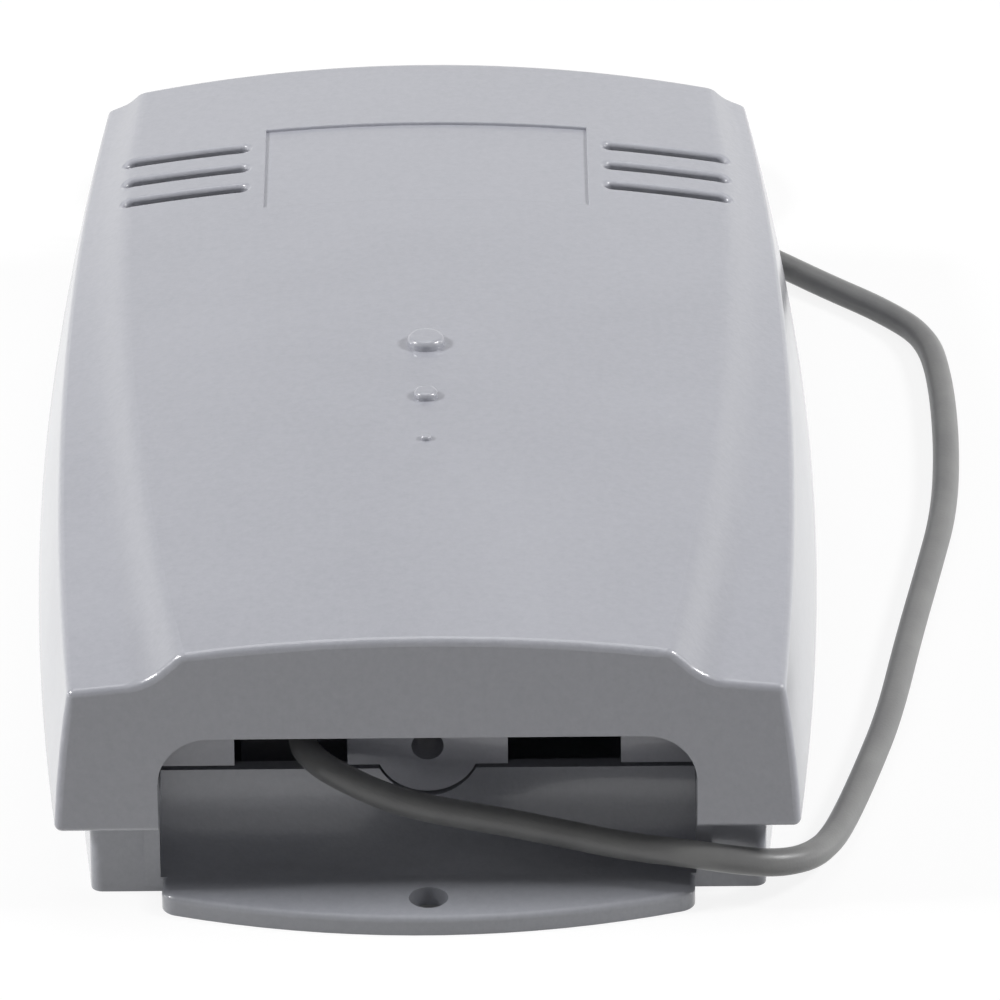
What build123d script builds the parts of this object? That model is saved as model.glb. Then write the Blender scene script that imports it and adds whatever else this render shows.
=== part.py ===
from build123d import *
import math
import os

# Radio receiver for remote controls: a moulded cover on a shallow base that is screwed flat to a wall.
# Sizes are in millimetres. X runs across the housing, Y from the cable end to the hinge end, Z away
# from the wall. Everything is laid out from y = 0 at the base's front wall, and moved at the end so
# that the origin is the centre of the footprint.

# Base sizes
floor_thickness = 2.6
base_wall = 2.0
base_length = 159.8
base_front_half = 42.8
base_middle_half = 47.0
base_rear_half = 43.2
base_corner = 1.5
rim_height = 16.5
edge_round = 0.8

# Fixing tongue under the cable opening
tongue_reach = 11.2
tongue_side_reach = 5.4
tongue_half = 33.8
tongue_corner = 2.5
fixing_hole_radius = 2.5
fixing_hole_y = -6.3
rear_hole_radius = 2.25
rear_hole_spacing = 50.0
rear_hole_y = 151.5

# Cable recess in the base, with a curved wall that sweeps down to the tongue
recess_half = 34.0
recess_depth = 9.0
recess_top = 12.5

# Cover sizes, as (front, middle, rear)
skirt_height = 11.2
skirt_front = -4.3
cover_rear = 167.2
front_lean = 2.9
cover_wall = 2.2
skirt_half = (46.8, 51.4, 47.1)
crease_half = (44.9, 48.1, 44.3)
crease_height = (31.3, 30.6, 26.7)
ridge_half = (29.9, 38.9, 38.9)
sweep_width = (7.9, 6.7, 3.6)
ridge_softness = 2.0
crown_height = (38.3, 37.6, 32.7)
crown_radius = 238.0
rear_bow_radius = 460.0
wing_fall = 0.7
side_bulge = 0.45
skirt_reach = 6.0
cover_round = 1.0

# Cable opening in the cover's front wall
opening_half = 34.0
opening_height = 24.5
opening_corner = 6.5

# Inner wall of the cover behind the opening, with two cable windows and the screw tower
inner_wall = 2.0
inner_wall_gap = 0.6
window_near = 10.2
window_far = 24.6
window_top = 20.0
window_corner = 1.0
tower_height = 15.8
tower_disc_radius = 6.7
tower_disc_gap = 0.3
tower_radius = 4.0
tower_length = 16.0
tower_shoulder = 2.0
post_gap = 0.4
post_depth = 9.0
screw_well_radius = 2.05

# Vents, label recess and the row of raised discs on the face
vent_count = 3
vent_y = 127.1
vent_pitch = 6.6
vent_near = 24.4
vent_far = 41.2
vent_width = 2.2
vent_lip = 0.6
label_half = 22.1
label_near = 120.1
label_far = 146.1
label_depth = 0.5
label_lip = 0.2
disc_radii = (2.45, 1.55, 0.7)
disc_places = (75.5, 60.5, 48.7)
disc_rise = (1.3, 1.0, 0.6)

# Rear hinge: pins on the base and half-round clips on the cover
pin_radius = 1.2
pin_y = 2.6
pin_height = 13.0
pin_length = 10.0
pin_web = 1.6
hinge_spacing = 48.0
clip_length = 7.0
clip_wall = 1.2
running_gap = 0.05

# Ribs of the cover that stand on the base's rim
rib_places = (28.0, 82.0, 136.0)
rib_thickness = 1.5
rib_rise = 8.0

# Screws: (shank radius, head radius, head height)
cover_screw_size = (1.05, 1.9, 1.6)
cover_screw_length = 7.4
parked_gap = 0.3
board_screw_size = (1.4, 2.7, 2.0)
board_screw_length = 6.0
screw_gap = 0.1

# Circuit board
board_width = 72.0
board_length = 104.0
board_thickness = 1.6
board_front = 36.0
board_height = 8.0
board_post_radius = 3.0
board_post_inset = 5.0
lead_hole_gap = 0.15
joint_reach = 1.2

# Cable and its clamp
cable_diameter = 3.6
cable_gap = 0.15
clamp_x = -14.5
clamp_y = 20.0
clamp_depth = 6.0
clamp_length = 19.0
clamp_cable_height = 14.7
clamp_bar_height = 3.0
clamp_slit = 0.6
core_count = 5
core_radius = 0.55
core_tail = 11.0
bare_length = 5.0

# Hank of the length that is put away behind the housing
hank_run = 56.0
hank_outer = 14.9
hank_pitch = 4.3
hank_waist = 2.5
hank_y = 187.4
layer_gap = 0.45
tie_width = 3.2
tie_thickness = 0.8
tie_gap = 0.2

# Terminal block
pole_count = 6
pole_pitch = 5.08
terminal_x = -12.4
terminal_front = 37.5
terminal_depth = 8.0
terminal_height = 10.0
terminal_well_radius = 1.9

# Parts on the board
relay_size = (29.0, 12.6, 15.7)
relay_x = 17.0
relay_y = 56.0
diode_pitch = 4.0
resistor_pitch = 4.5
socket_height = 4.0
button_places = (13.0, 25.0)
button_height = 3.6
plunger_radius = 1.7
plunger_rise = 1.5
radio_length = 44.0
radio_height = 18.0
radio_y = 126.0
aerial_radius = 0.8
aerial_y = 118.0

# Route of the cable from the clamp over the tongue, along the floor beside the housing and behind it
hank_low = tie_thickness + tie_gap + cable_diameter / 2
floor_cable = cable_diameter / 2
lead_route = [
    (clamp_x, clamp_y + clamp_depth, clamp_cable_height),
    (clamp_x, clamp_y - 1, clamp_cable_height),
    (-14.0, 11.8, 14.9),
    (-11.4, 6.2, 14.3),
    (-6.7, 2.9, 12.8),
    (-0.8, 2.0, 11.2),
    (6.4, 2.2, 9.6),
    (15.4, 1.6, 7.9),
    (24.8, -1.0, 6.9),
    (33.4, -3.5, 7.0),
    (39.5, -4.2, 6.4),
    (44.8, -2.9, 5.3),
    (49.0, 0.6, 4.1),
    (51.8, 5.8, 2.9),
    (53.9, 14.2, floor_cable + 0.1),
    (57.0, 28.0, floor_cable),
    (61.9, 50.0, floor_cable),
    (66.4, 75.0, floor_cable),
    (70.8, 103.0, floor_cable),
    (71.4, 128.0, floor_cable),
    (66.8, 146.0, floor_cable),
    (57.0, 158.4, floor_cable),
    (48.2, 166.0, floor_cable + 0.2),
    (42.2, 170.4, floor_cable + 0.7),
    (36.6, hank_y - hank_outer, hank_low),
    (hank_run / 2 + cable_diameter, hank_y - hank_outer, hank_low),
]

board_top = board_height + board_thickness
tower_end = recess_depth + tower_length
post_near = tower_end + post_gap
nodes = {}
board_holes = []


def block(x, y, z):
    """Box from its (low, high) extents along each axis."""
    size = (x[1] - x[0], y[1] - y[0], z[1] - z[0])
    middle = ((x[0] + x[1]) / 2, (y[0] + y[1]) / 2, (z[0] + z[1]) / 2)
    return Pos(*middle) * Box(*size)


def rod(start, end, radius):
    """Round bar between two points."""
    path = Vector(*end) - Vector(*start)
    return Plane(start, z_dir=path) * Pos(0, 0, path.length / 2) * Cylinder(radius, path.length)


def mirrored(shape):
    """The shape with its copy on the other side of the housing."""
    return shape + mirror(shape, about=Plane.YZ)


def along(values, y):
    """Value on the parabola through the cover's front, middle and rear sizes."""
    front, middle, rear = values
    s = (y - skirt_front) / (cover_rear - skirt_front)
    return front * (1 - s) * (1 - 2 * s) + 4 * middle * s * (1 - s) - rear * s * (1 - 2 * s)


def cover_section(y, inset):
    """Outline across the cover at y, drawn in from the outer face by inset."""
    crease_x = along(crease_half, y) - inset
    crease_z = along(crease_height, y) - inset
    skirt_x = along(skirt_half, y) - inset
    low = skirt_height - skirt_reach
    side_x = skirt_x + skirt_reach * (skirt_x - crease_x) / (crease_z - skirt_height)
    ridge_x = along(ridge_half, y) - 0.6 * inset
    foot_x = along(ridge_half, y) + along(sweep_width, y) - 0.9 * inset
    foot_z = crease_z + wing_fall
    crown_z = along(crown_height, y) - inset
    ridge_z = crown_z - ridge_x**2 / (2 * crown_radius)
    far_handle = 0.6 * (foot_x - ridge_x)
    wing_slope = wing_fall / (crease_x - foot_x)
    bulge_x = (side_x + crease_x) / 2 + side_bulge
    edges = [Line((-side_x, y, low), (side_x, y, low))]
    for side in (1, -1):
        bottom = (side * side_x, y, low)
        middle = (side * bulge_x, y, (low + crease_z) / 2)
        crease = (side * crease_x, y, crease_z)
        foot = (side * foot_x, y, foot_z)
        foot_pull = (side * (foot_x - far_handle), y, foot_z + wing_slope * far_handle)
        ridge_pull = (side * (ridge_x + ridge_softness), y, ridge_z - ridge_softness * ridge_x / crown_radius)
        ridge = (side * ridge_x, y, ridge_z)
        edges.append(ThreePointArc(bottom, middle, crease))
        edges.append(Line(crease, foot))
        edges.append(Bezier(foot, foot_pull, ridge_pull, ridge))
    edges.append(ThreePointArc((-ridge_x, y, ridge_z), (0, y, crown_z), (ridge_x, y, ridge_z)))
    return Wire(edges)


def front_plane(inset):
    """The leaning front wall of the cover, facing into the housing."""
    lean = math.radians(front_lean)
    inward = Vector(0, math.cos(lean), -math.sin(lean))
    return Plane(Vector(0, skirt_front, skirt_height) + inward * inset, x_dir=(1, 0, 0), z_dir=inward)


def cover_form(inset):
    """Solid body of the cover, drawn in by inset and open-ended below."""
    reach = 6.0
    span = cover_rear - skirt_front + 2 * reach
    stations = [skirt_front - reach + span * k / 6 for k in range(7)]
    body = Solid.make_loft([cover_section(y, inset) for y in stations])
    body = split(Part() + body, bisect_by=front_plane(inset), keep=Keep.TOP)
    bow = Pos(0, cover_rear - rear_bow_radius, 0) * Cylinder(rear_bow_radius - inset, 200)
    return body & bow


def skin_edges(shape, across, lengthways):
    """Edges on the cover's outer skin, from one distance to another off the middle and along it."""
    skin = cover_form(label_depth / 2)
    found = []
    for edge in shape.edges():
        points = [edge @ s for s in (0, 0.5, 1)]
        beside = all(across[0] <= abs(p.X) <= across[1] for p in points)
        within = all(lengthways[0] <= p.Y <= lengthways[1] for p in points)
        if beside and within and not any(skin.is_inside(p) for p in points):
            found.append(edge)
    return found


def make_cover():
    """Cover: leaning front, drawn-in wings, vents, label recess, raised discs, inner wall and tower."""
    outer = split(cover_form(0), bisect_by=Plane.XY.offset(skirt_height), keep=Keep.TOP)
    front = front_plane(0)
    rear_edges = [e for e in outer.edges() if e.center().Y > cover_rear - 3]
    front_edges = [e for e in outer.edges() if abs(front.to_local_coords(e.center()).Z) < 0.05]
    long_edges = [e for e in outer.edges() if e not in rear_edges + front_edges]
    sharp = [e for e in long_edges if abs(e.center().X) > crease_half[1] - 1.0]
    rounded = fillet(front_edges + rear_edges + sharp, cover_round)
    inside = cover_form(cover_wall)
    shell = rounded - inside

    opening = block((-opening_half, opening_half), (skirt_front - 3, 3), (skirt_height - 9, opening_height))
    top_edges = opening.edges().filter_by(Axis.Y).group_by(Axis.Z)[-1]
    shell -= fillet(top_edges, opening_corner)

    wall_back = recess_depth + inner_wall
    roof = crown_height[0] + 5
    web = block((-60, 60), (recess_depth, wall_back), (rim_height + 2, roof))
    web += block((-recess_half, recess_half), (recess_depth, wall_back), (recess_top + inner_wall_gap, roof))
    for side in (-1, 1):
        near, far = sorted((side * window_near, side * window_far))
        window = block((near, far), (recess_depth - 1, wall_back + 1), (recess_top - 8, window_top))
        web -= fillet(window.edges().filter_by(Axis.Y).group_by(Axis.Z)[-1], window_corner)
    web += rod((0, recess_depth, tower_height), (0, wall_back, tower_height), tower_disc_radius)
    web += rod((0, recess_depth, tower_height), (0, tower_end, tower_height), tower_radius)
    web += block((-1, 1), (recess_depth, tower_end), (tower_height, roof))
    for k, y in enumerate(rib_places):
        rib = block((-60, 60), (y, y + rib_thickness), (rim_height, rim_height + rib_rise))
        rib -= block((-base_half(y) + base_wall, base_half(y) - base_wall), (y - 1, y + 3), (0, 60))
        web += rib
    shell += web & cover_form(cover_wall / 2)
    well_end = tower_end - tower_shoulder
    shell -= rod((0, recess_depth - 1, tower_height), (0, well_end, tower_height), screw_well_radius)
    shell -= rod((0, 0, tower_height), (0, tower_end + 1, tower_height), cover_screw_size[0] + screw_gap)

    for side in (-1, 1):
        x = side * hinge_spacing / 2
        clip_radius = pin_radius + running_gap + clip_wall
        centre_y = base_length + pin_y
        half = clip_length / 2
        clip = rod((x - half, centre_y, pin_height), (x + half, centre_y, pin_height), clip_radius)
        arm_height = (pin_height - clip_radius / 2, pin_height + 8)
        clip += block((x - half, x + half), (centre_y, cover_rear - cover_wall / 2), arm_height)
        clip -= block((x - 20, x + 20), (0, centre_y), (0, 60))
        clip -= rod((x - 20, centre_y, pin_height), (x + 20, centre_y, pin_height), pin_radius + running_gap)
        shell += clip & cover_form(cover_wall / 2)

    label = block((-label_half, label_half), (label_near, label_far), (20, 60))
    shell -= label - cover_form(label_depth)
    rim = skin_edges(shell, (0, label_half + 0.1), (label_near - 0.1, label_far + 0.1))
    shell = fillet(rim, label_lip)
    for k in range(vent_count):
        y = vent_y + k * vent_pitch
        slot = SlotCenterToCenter(vent_far - vent_near - vent_width, vent_width)
        cut = extrude(Pos((vent_near + vent_far) / 2, y, 20) * slot, 30)
        shell -= mirrored(cut)
    last_vent = vent_y + (vent_count - 1) * vent_pitch
    vents = (vent_y - vent_width, last_vent + vent_width)
    lips = skin_edges(shell, (vent_near - 0.1, vent_far + 0.1), vents)
    shell = fillet(lips, min(vent_lip, cover_wall * 0.4))
    for y, radius, rise in zip(disc_places, disc_radii, disc_rise):
        bar = rod((0, y, along(crown_height, y) - cover_wall / 2), (0, y, 60), radius)
        disc = bar & cover_form(-rise)
        shell += fillet(disc.edges().group_by(Axis.Z)[-1], min(rise, radius) * 0.5)
    return shell


def base_half(y):
    """Half width of the base at y, on the arc through its front, middle and rear sizes."""
    s = y / base_length
    side = 4 * base_middle_half * s * (1 - s)
    return base_front_half * (1 - s) * (1 - 2 * s) + side - base_rear_half * s * (1 - 2 * s)


def base_outline(inset):
    """Plan of the base, drawn in by inset."""
    near, far = inset, base_length - inset
    middle = base_length / 2
    corners = {}
    for side in (-1, 1):
        corners[side] = [(side * (base_half(y) - inset), y) for y in (near, middle, far)]
    edges = [Line(corners[-1][0], corners[1][0]), ThreePointArc(*corners[1])]
    edges += [Line(corners[1][2], corners[-1][2]), ThreePointArc(*corners[-1][::-1])]
    return make_face(edges)


def make_base():
    """Base: floor with the fixing tongue, rim, curved recess wall, posts, cradle and hinge pins."""
    plate = extrude(base_outline(0), rim_height)
    plate = fillet(plate.edges().filter_by(Axis.Z), base_corner)
    hollow = Pos(0, 0, floor_thickness) * extrude(base_outline(base_wall), rim_height)
    body = plate - hollow

    recess = block((-recess_half, recess_half), (-5, recess_depth + 4), (floor_thickness, rim_height + 1))
    body -= recess
    cheek_edge = recess_half + base_wall
    cheek_y = (base_wall / 2, recess_depth + inner_wall)
    cheeks = block((recess_half, cheek_edge), cheek_y, (floor_thickness, rim_height))
    cheeks -= block((0, 90), (base_wall + 1, 90), (recess_top, 60))
    body += mirrored(cheeks)
    sweep_radius = recess_top - floor_thickness
    centre = (recess_depth - sweep_radius, recess_top)
    outer = rod((-cheek_edge, *centre), (cheek_edge, *centre), sweep_radius + inner_wall)
    outer &= block((-90, 90), (centre[0], 60), (floor_thickness / 2, recess_top))
    body += outer
    body -= rod((-recess_half, *centre), (recess_half, *centre), sweep_radius)
    notch = tower_disc_radius + tower_disc_gap
    body -= rod((0, floor_thickness, tower_height), (0, recess_depth + 5, tower_height), notch)

    tongue_line = [(-tongue_half, -tongue_side_reach), (0, -tongue_reach), (tongue_half, -tongue_side_reach)]
    edges = [ThreePointArc(*tongue_line), Line(tongue_line[2], (tongue_half, 2))]
    edges += [Line((tongue_half, 2), (-tongue_half, 2)), Line((-tongue_half, 2), tongue_line[0])]
    tongue = extrude(make_face(edges), floor_thickness)
    corners = [e for e in tongue.edges().filter_by(Axis.Z) if e.center().Y < 0]
    tongue = fillet(corners, tongue_corner)
    rim = [e for e in tongue.edges().group_by(Axis.Z)[-1] if e.center().Y < 0]
    tongue = fillet(rim, edge_round)
    body += tongue
    body -= rod((0, fixing_hole_y, -1), (0, fixing_hole_y, floor_thickness + 1), fixing_hole_radius)
    for side in (-1, 1):
        x = side * rear_hole_spacing / 2
        body -= rod((x, rear_hole_y, -1), (x, rear_hole_y, floor_thickness + 1), rear_hole_radius)

    for x, y in board_posts():
        body += rod((x, y, floor_thickness / 2), (x, y, board_height), board_post_radius)
        pilot = board_screw_size[0] + running_gap
        body -= rod((x, y, floor_thickness + 0.4), (x, y, board_height + 1), pilot)

    post_rear = post_near + post_depth
    post_top = tower_height + cover_screw_size[0] + 2
    body += block((-tower_radius, tower_radius), (post_near, post_rear), (floor_thickness / 2, post_top))
    pilot = cover_screw_size[0] + running_gap
    body -= rod((0, post_near - 1, tower_height), (0, post_rear - 1, tower_height), pilot)

    cradle_x = (clamp_x - clamp_length / 2, clamp_x + clamp_length / 2)
    cradle_top = clamp_cable_height - clamp_slit / 2
    body += block(cradle_x, (clamp_y, clamp_y + clamp_depth), (floor_thickness / 2, cradle_top))
    body -= cable_groove()
    for x, y in clamp_screw_places():
        body -= rod((x, y, floor_thickness + 1), (x, y, cradle_top + 1), board_screw_size[0] + running_gap)

    for side in (-1, 1):
        x = side * hinge_spacing / 2
        half = pin_length / 2
        centre_y = base_length + pin_y
        body += rod((x - half, centre_y, pin_height), (x + half, centre_y, pin_height), pin_radius)
        web = (pin_height - pin_web / 2, pin_height + pin_web / 2)
        body += block((x - half, x + half), (base_length - base_wall / 2, centre_y), web)
    return body


def cable_groove():
    """Round seat of the cable through the cradle and its bar."""
    groove = cable_diameter / 2 + cable_gap
    ends = [(clamp_x, clamp_y + shift, clamp_cable_height) for shift in (-1, clamp_depth + 1)]
    return rod(*ends, groove)


def board_posts():
    """Places of the four board posts."""
    x = board_width / 2 - board_post_inset
    near, far = board_front + board_post_inset, board_front + board_length - board_post_inset
    return [(side * x, y) for side in (-1, 1) for y in (near, far)]


def clamp_screw_places():
    """Places of the two clamp screws, beside the cable."""
    reach = clamp_length / 2 - board_screw_size[1] - 0.3
    return [(clamp_x + side * reach, clamp_y + clamp_depth / 2) for side in (-1, 1)]


def screw(seat, direction, size, length):
    """Cross-head screw whose head rests on the seat and whose shank runs along direction."""
    shank, head, height = size
    towards = Vector(*direction).normalized()
    start = Vector(*seat)
    top = start - towards * height
    body = rod(tuple(start - towards * height / 2), tuple(start + towards * length), shank)
    cap = rod(tuple(top), tuple(start), head)
    cap = fillet(cap.edges().sort_by(lambda e: (e.center() - top).length)[:1], height * 0.45)
    slot = Box(head * 1.2, head * 0.28, height) + Box(head * 0.28, head * 1.2, height)
    cross = Plane(tuple(top), z_dir=towards) * slot
    return body + cap - cross


def leads(places, radius, top):
    """Solder leads through the board up to a height, whose holes are noted for the board."""
    body = Part()
    for x, y in places:
        board_holes.append((x, y, radius + lead_hole_gap))
        body += rod((x, y, board_height - joint_reach), (x, y, top), radius)
    return body


def row(count, pitch, x=0.0, y=0.0):
    """Places in a row along X, centred on (x, y)."""
    return [(x + (k - (count - 1) / 2) * pitch, y) for k in range(count)]


def make_terminal():
    """Screw terminal: moulded body, one cage clamp a pole and its screw."""
    half = pole_count * pole_pitch / 2
    front, back = terminal_front, terminal_front + terminal_depth
    body_z = (board_top, board_top + terminal_height)
    body = block((terminal_x - half, terminal_x + half), (front, back), body_z)
    body = fillet(body.edges().filter_by(Axis.X).group_by(Axis.Z)[-1], 0.8)
    clamps, screws = Part(), Part()
    mid = front + terminal_depth / 2
    for x, _ in row(pole_count, pole_pitch, terminal_x):
        body -= block((x - 1.9, x + 1.9), (mid - 2.7, mid + 2.7), (board_top + 0.8, board_top + 6.4))
        body -= block((x - 1.6, x + 1.6), (front - 1, mid), (board_top + 1.4, board_top + 4.8))
        body -= rod((x, mid, board_top + 6), (x, mid, board_top + terminal_height + 1), terminal_well_radius)
        body -= rod((x, mid, board_top - 1), (x, mid, board_top + 2), 0.5 + lead_hole_gap)
        cage = block((x - 1.7, x + 1.7), (mid - 2.4, mid + 2.4), (board_top + 0.95, board_top + 6.2))
        cage -= block((x - 1.2, x + 1.2), (mid - 3, mid + 3), (board_top + 1.7, board_top + 4.6))
        cage -= rod((x, mid, board_top + 4), (x, mid, board_top + 7), 1.2 + running_gap)
        clamps += cage + leads([(x, mid)], 0.5, board_top + 1.5)
        size = (1.2, terminal_well_radius - 0.15, 1.8)
        screws += screw((x, mid, board_top + 6.9), (0, 0, -1), size, 3.0)
    return body, clamps, screws


def make_relay(x):
    """Sealed relay: case with rounded edges and five leads."""
    half_x, half_y = relay_size[0] / 2, relay_size[1] / 2
    near, far = relay_y - half_y, relay_y + half_y
    case = block((x - half_x, x + half_x), (near, far), (board_top, board_top + relay_size[2]))
    case = fillet(case.edges().filter_by(Axis.Z) + case.edges().group_by(Axis.Z)[-1], 0.8)
    places = [(x - half_x + 3, relay_y), (x - half_x + 5, relay_y - 5), (x - half_x + 5, relay_y + 5)]
    places += [(x + half_x - 4, relay_y - 3.8), (x + half_x - 4, relay_y + 3.8)]
    return case + leads(places, 0.5, board_top + 1)


def make_capacitor(x, y, radius, height):
    """Radial capacitor can with a rolled groove and two leads."""
    can = rod((x, y, board_top), (x, y, board_top + height), radius)
    can = fillet(can.edges().group_by(Axis.Z)[-1], 0.6)
    ring = Pos(x, y, board_top + 2.2) * Torus(radius + 0.25, 0.6)
    return can - ring + leads([(x - radius / 2, y), (x + radius / 2, y)], 0.35, board_top + 1)


def make_regulator(x, y):
    """Three-lead regulator standing on its leads, with its metal tab behind."""
    foot = board_top + 3.0
    body = block((x - 5, x + 5), (y - 2.2, y + 1.0), (foot, foot + 9))
    body = chamfer(body.edges().filter_by(Axis.X).group_by(Axis.Y)[0], 0.8)
    tab = block((x - 5, x + 5), (y + 1.0, y + 2.3), (foot, foot + 15.5))
    tab -= rod((x, y, foot + 12.5), (x, y + 5, foot + 12.5), 1.8)
    return body + tab + leads(row(3, 2.54, x, y), 0.4, foot + 1)


def make_diodes(x, y):
    """Four rectifier diodes lying side by side."""
    group = Part()
    height = board_top + 1.5
    for k in range(4):
        place = y + k * diode_pitch
        group += rod((x - 2.6, place, height), (x + 2.6, place, height), 1.35)
        group += rod((x - 5, place, height), (x + 5, place, height), 0.4)
        group += Pos(x - 5, place, height) * Sphere(0.4) + Pos(x + 5, place, height) * Sphere(0.4)
        group += leads([(x - 5, place), (x + 5, place)], 0.4, height)
    return group


def make_resistors(x, y):
    """Six resistors lying side by side, each with swollen ends."""
    group = Part()
    height = board_top + 1.3
    for k in range(6):
        place = x + k * resistor_pitch
        group += rod((place, y - 3.0, height), (place, y + 3.0, height), 0.95)
        for end in (-2.4, 2.4):
            group += Pos(place, y + end, height) * Sphere(1.2)
        group += rod((place, y - 5, height), (place, y + 5, height), 0.3)
        group += Pos(place, y - 5, height) * Sphere(0.3) + Pos(place, y + 5, height) * Sphere(0.3)
        group += leads([(place, y - 5), (place, y + 5)], 0.3, height)
    return group


def make_chip(x, y, pins, seat):
    """Dual-row chip with its notch and bent legs, seated on its socket."""
    half = pins / 2 * 2.54 / 2
    body = block((x - half, x + half), (y - 3.2, y + 3.2), (seat + 0.5, seat + 3.8))
    body = chamfer(body.edges().group_by(Axis.Z)[-1], 0.4)
    body -= rod((x - half, y, seat + 3.2), (x - half, y, seat + 5), 0.9)
    for side in (-1, 1):
        for leg_x, leg_y in row(pins // 2, 2.54, x, y + side * 3.81):
            near, far = sorted((leg_y, leg_y - side * 1.2))
            body += block((leg_x - 0.6, leg_x + 0.6), (near - 0.12, far + 0.12), (seat + 1.7, seat + 2.0))
            body += block((leg_x - 0.6, leg_x + 0.6), (leg_y - 0.12, leg_y + 0.12), (seat, seat + 2.0))
    return body


def make_socket(x, y, pins):
    """Open-frame chip socket with its solder leads."""
    half = pins / 2 * 2.54 / 2
    body = block((x - half, x + half), (y - 5.0, y + 5.0), (board_top, board_top + socket_height))
    body -= block((x - half + 2, x + half - 2), (y - 2.4, y + 2.4), (board_top - 1, board_top + 9))
    for side in (-1, 1):
        body += leads(row(pins // 2, 2.54, x, y + side * 3.81), 0.25, board_top + 1)
    return body


def make_button(x, y):
    """Push button: case, snap dome, and plunger with its flange."""
    case_top = board_top + button_height
    case = block((x - 3, x + 3), (y - 3, y + 3), (board_top, case_top))
    case = chamfer(case.edges().filter_by(Axis.Z), 0.5)
    ledge = case_top - 0.5
    case -= rod((x, y, board_top + 0.8), (x, y, ledge), plunger_radius + 0.6)
    case -= rod((x, y, board_top + 0.8), (x, y, case_top + 1), plunger_radius + running_gap)
    case += leads([(x + i * 3.25, y + j * 2.25) for i in (-1, 1) for j in (-1, 1)], 0.3, board_top + 0.6)
    for side_x in (x - 3.25, x + 3.25):
        case += block((side_x - 0.3, side_x + 0.3), (y - 2.5, y + 2.5), (board_top, board_top + 0.6))
    flange_low = ledge - 0.6
    plunger = rod((x, y, flange_low), (x, y, flange_low + 0.55), plunger_radius + 0.5)
    plunger += rod((x, y, flange_low), (x, y, case_top + plunger_rise), plunger_radius)
    plunger = fillet(plunger.edges().group_by(Axis.Z)[-1], 0.3)
    low = board_top + 0.8
    dome = rod((x, y, low), (x, y, low + 0.15), plunger_radius + 0.45)
    dome += Solid.make_cone(plunger_radius, 0.6, flange_low - low, Plane((x, y, low)))
    return case, dome, plunger


def make_led(x, y):
    """Indicator lamp with its flange and domed lens."""
    lens = rod((x, y, board_top), (x, y, board_top + 3.6), 1.5) + Pos(x, y, board_top + 3.6) * Sphere(1.5)
    lens += rod((x, y, board_top), (x, y, board_top + 1), 1.9)
    return lens + leads(row(2, 2.54, x, y), 0.25, board_top + 0.5)


def make_header(x, y):
    """Three-pin header, and the jumper cap on two of its pins."""
    strip = block((x - 3.8, x + 3.8), (y - 1.25, y + 1.25), (board_top, board_top + 2.5))
    strip = chamfer(strip.edges().filter_by(Axis.Z), 0.4)
    strip += leads(row(3, 2.54, x, y), 0.32, board_top + 8.4)
    middle = x - 1.27
    cap = block((middle - 2.5, middle + 2.5), (y - 1.2, y + 1.2), (board_top + 2.5, board_top + 8.5))
    cap = fillet(cap.edges().group_by(Axis.Z)[-1], 0.4)
    for pin_x, pin_y in row(2, 2.54, middle, y):
        cap -= rod((pin_x, pin_y, board_top), (pin_x, pin_y, board_top + 8), 0.32 + running_gap)
        cap -= rod((pin_x, pin_y, board_top + 7), (pin_x, pin_y, board_top + 8.45), 0.32 + running_gap)
    return strip, cap


def make_radio():
    """Upright radio board on its row of leads, with a shielded filter and a tuning coil in its can."""
    half = radio_length / 2
    low = board_top + 1.5
    top = low + radio_height
    card = block((-half, half), (radio_y, radio_y + 1.0), (low, top))
    card += leads(row(9, 2.54, 0, radio_y + 0.5), 0.3, low + 0.5)
    card += block((-half + 2, half - 2), (radio_y - 0.6, radio_y + 1.6), (board_top, low))
    shield = block((-half + 3, -half + 19), (radio_y - 4.0, radio_y), (low + 3, top - 3))
    shield = fillet(shield.edges().group_by(Axis.Y)[0], 0.5)
    coil_x = half - 8
    can = block((coil_x - 3.5, coil_x + 3.5), (radio_y - 8.0, radio_y), (low + 5, low + 12))
    can = fillet(can.edges().filter_by(Axis.Y), 0.5)
    centre = low + 8.5
    can -= rod((coil_x, radio_y - 9, centre), (coil_x, radio_y - 2, centre), 2.0 + running_gap)
    core = rod((coil_x, radio_y - 7, centre), (coil_x, radio_y - 2, centre), 2.0)
    core -= Pos(coil_x, radio_y - 7, centre) * Box(2.6, 1.6, 0.6)
    return card, shield, can, core


def bends(points):
    """Radius of the arc at each inner point of a route: as large as its two runs allow."""
    radii = []
    for before, at, after in zip(points, points[1:], points[2:]):
        first, second = Vector(*at) - Vector(*before), Vector(*after) - Vector(*at)
        turn = math.radians(first.get_angle(second))
        radii.append(0.45 * min(first.length, second.length) / math.tan(turn / 2))
    return radii


def tube(path, radius):
    """Round tube along a path."""
    return sweep(Plane(path @ 0, z_dir=path % 0) * Circle(radius), path=path)


def routed(name, points, radius):
    """Tube along straight runs joined by arcs; its bends and volume are printed."""
    radii = bends(points)
    path = FilletPolyline(*points, radius=radii)
    body = tube(path, radius)
    plain = math.pi * radius**2 * path.length
    print(name, "length", round(path.length, 1), "volume ratio", round(body.volume / plain, 4))
    print(name, "bends", [round(r, 1) for r in radii])
    return body


def core_offsets():
    """Places of the cores round the cable's axis, from one side to the other."""
    ring = 1.05
    angles = [math.radians(90 + 360 * k / core_count) for k in range(core_count)]
    return sorted((ring * math.cos(a), ring * math.sin(a)) for a in angles)


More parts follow.
